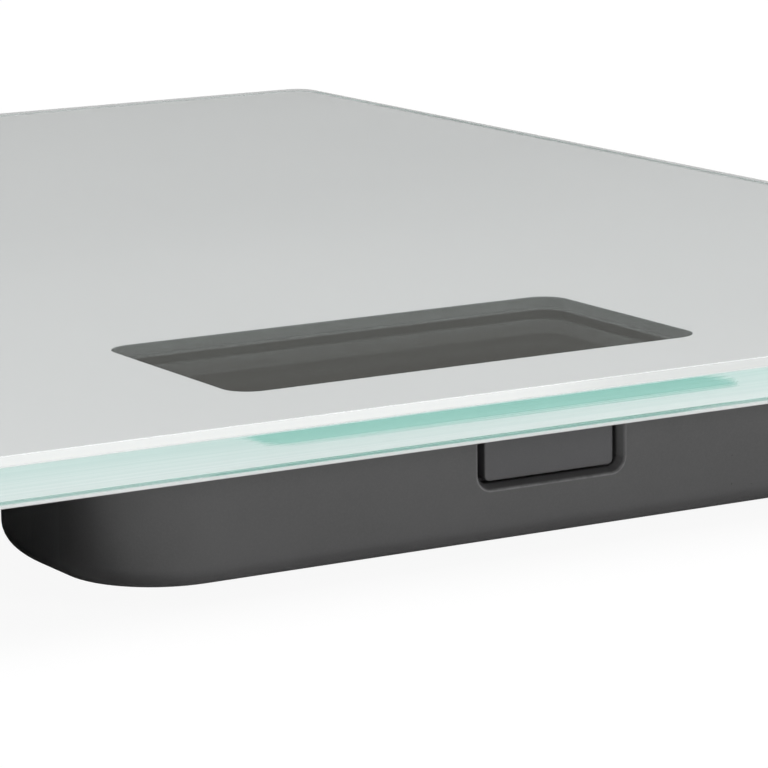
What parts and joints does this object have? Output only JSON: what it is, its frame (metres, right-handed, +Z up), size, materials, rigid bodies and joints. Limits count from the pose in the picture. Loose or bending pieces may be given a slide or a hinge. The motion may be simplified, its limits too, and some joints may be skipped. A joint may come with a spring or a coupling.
{
  "type": "kitchen scale",
  "caption": "Low glass-top kitchen scale: bevelled rectangular glass platform with a display window, a dark electronics pod under the front edge with a push button, and sprung corner feet.",
  "frame": {"origin": "middle of the footprint, on the table", "axes": "+Z up, -Y towards the edge with the display and the button, +X to the right of a person facing that edge"},
  "size_m": [0.208, 0.238, 0.0195],
  "materials": {
    "platform_glass": "clear float glass, green at its ground edges",
    "silver_print": "satin silver-grey screen print",
    "foam_tape": "black foam tape",
    "housing_plastic": "fine-grained dark grey ABS, satin",
    "frame_plastic": "grey plastic, satin",
    "bezel_plastic": "dark brown-grey plastic, satin",
    "display_glass": "liquid crystal display, off",
    "contact_rubber": "striped conductive rubber",
    "circuit_board": "green solder mask",
    "chip_resin": "black epoxy",
    "screw_steel": "zinc plated",
    "switch_plastic": "black nylon",
    "plunger_plastic": "ivory nylon",
    "button_plastic": "dark grey ABS, slightly paler than the housing",
    "cell_steel": "stainless steel can",
    "contact_metal": "nickel plated spring strip",
    "door_plastic": "dark grey ABS",
    "slider_plastic": "white nylon",
    "load_cell_steel": "nickel plated sheet steel",
    "foot_plastic": "dark grey ABS",
    "pad_rubber": "black rubber",
    "clip_plastic": "dark grey nylon",
    "cable_jacket": "black soft jacket"
  },
  "bodies": {
    "platform": {"glass_platform": "platform_glass", "back_print": "silver_print", "pod_tape": "foam_tape", "pod_housing": "housing_plastic", "display_frame": "frame_plastic", "lcd_bezel": "bezel_plastic", "lcd_glass": "display_glass", "zebra_connector": "contact_rubber", "lcd_cushion": "foam_tape", "main_pcb": "circuit_board", "mcu_cob": "chip_resin", "adc_chip": "chip_resin", "pcb_screws": "screw_steel", "tact_switch": "switch_plastic", "battery_cell": "cell_steel", "battery_contact_pos": "contact_metal", "battery_contact_neg": "contact_metal", "unit_switch": "switch_plastic", "foot_shell_fl": "housing_plastic", "foot_shell_fr": "housing_plastic", "foot_shell_bl": "housing_plastic", "foot_shell_br": "housing_plastic", "load_cell_fl": "load_cell_steel", "load_cell_fr": "load_cell_steel", "load_cell_bl": "load_cell_steel", "load_cell_br": "load_cell_steel", "cable_fl": "cable_jacket", "cable_fr": "cable_jacket", "cable_bl": "cable_jacket", "cable_br": "cable_jacket", "cable_clip_l1": "clip_plastic", "cable_clip_l2": "clip_plastic", "cable_clip_r1": "clip_plastic", "cable_clip_r2": "clip_plastic"},
    "button": {"button_cap": "button_plastic", "switch_plunger": "plunger_plastic"},
    "battery_door": {"battery_door": "door_plastic"},
    "unit_slider": {"unit_slider": "slider_plastic"},
    "foot_fl": {"foot_button_fl": "foot_plastic", "foot_pad_fl": "pad_rubber"},
    "foot_fr": {"foot_button_fr": "foot_plastic", "foot_pad_fr": "pad_rubber"},
    "foot_bl": {"foot_button_bl": "foot_plastic", "foot_pad_bl": "pad_rubber"},
    "foot_br": {"foot_button_br": "foot_plastic", "foot_pad_br": "pad_rubber"}
  },
  "joints": [
    {"name": "button_press", "type": "slide", "parent": "platform", "child": "button", "axis": [0, 1, 0], "range_m": [0, 0.0005], "stiffness_N_per_m": 3000},
    {"name": "battery_door_twist", "type": "hinge", "parent": "platform", "child": "battery_door", "pos_m": [0.02, -0.092, 0.002], "axis": [0, 0, 1], "range_deg": [0, 60]},
    {"name": "unit_select", "type": "slide", "parent": "platform", "child": "unit_slider", "axis": [1, 0, 0], "range_m": [0, 0.002]},
    {"name": "foot_travel_fl", "type": "slide", "parent": "platform", "child": "foot_fl", "axis": [0, 0, 1], "range_m": [0, 0.0005], "stiffness_N_per_m": 15000},
    {"name": "foot_travel_fr", "type": "slide", "parent": "platform", "child": "foot_fr", "axis": [0, 0, 1], "range_m": [0, 0.0005], "stiffness_N_per_m": 15000},
    {"name": "foot_travel_bl", "type": "slide", "parent": "platform", "child": "foot_bl", "axis": [0, 0, 1], "range_m": [0, 0.0005], "stiffness_N_per_m": 15000},
    {"name": "foot_travel_br", "type": "slide", "parent": "platform", "child": "foot_br", "axis": [0, 0, 1], "range_m": [0, 0.0005], "stiffness_N_per_m": 15000}
  ]
}
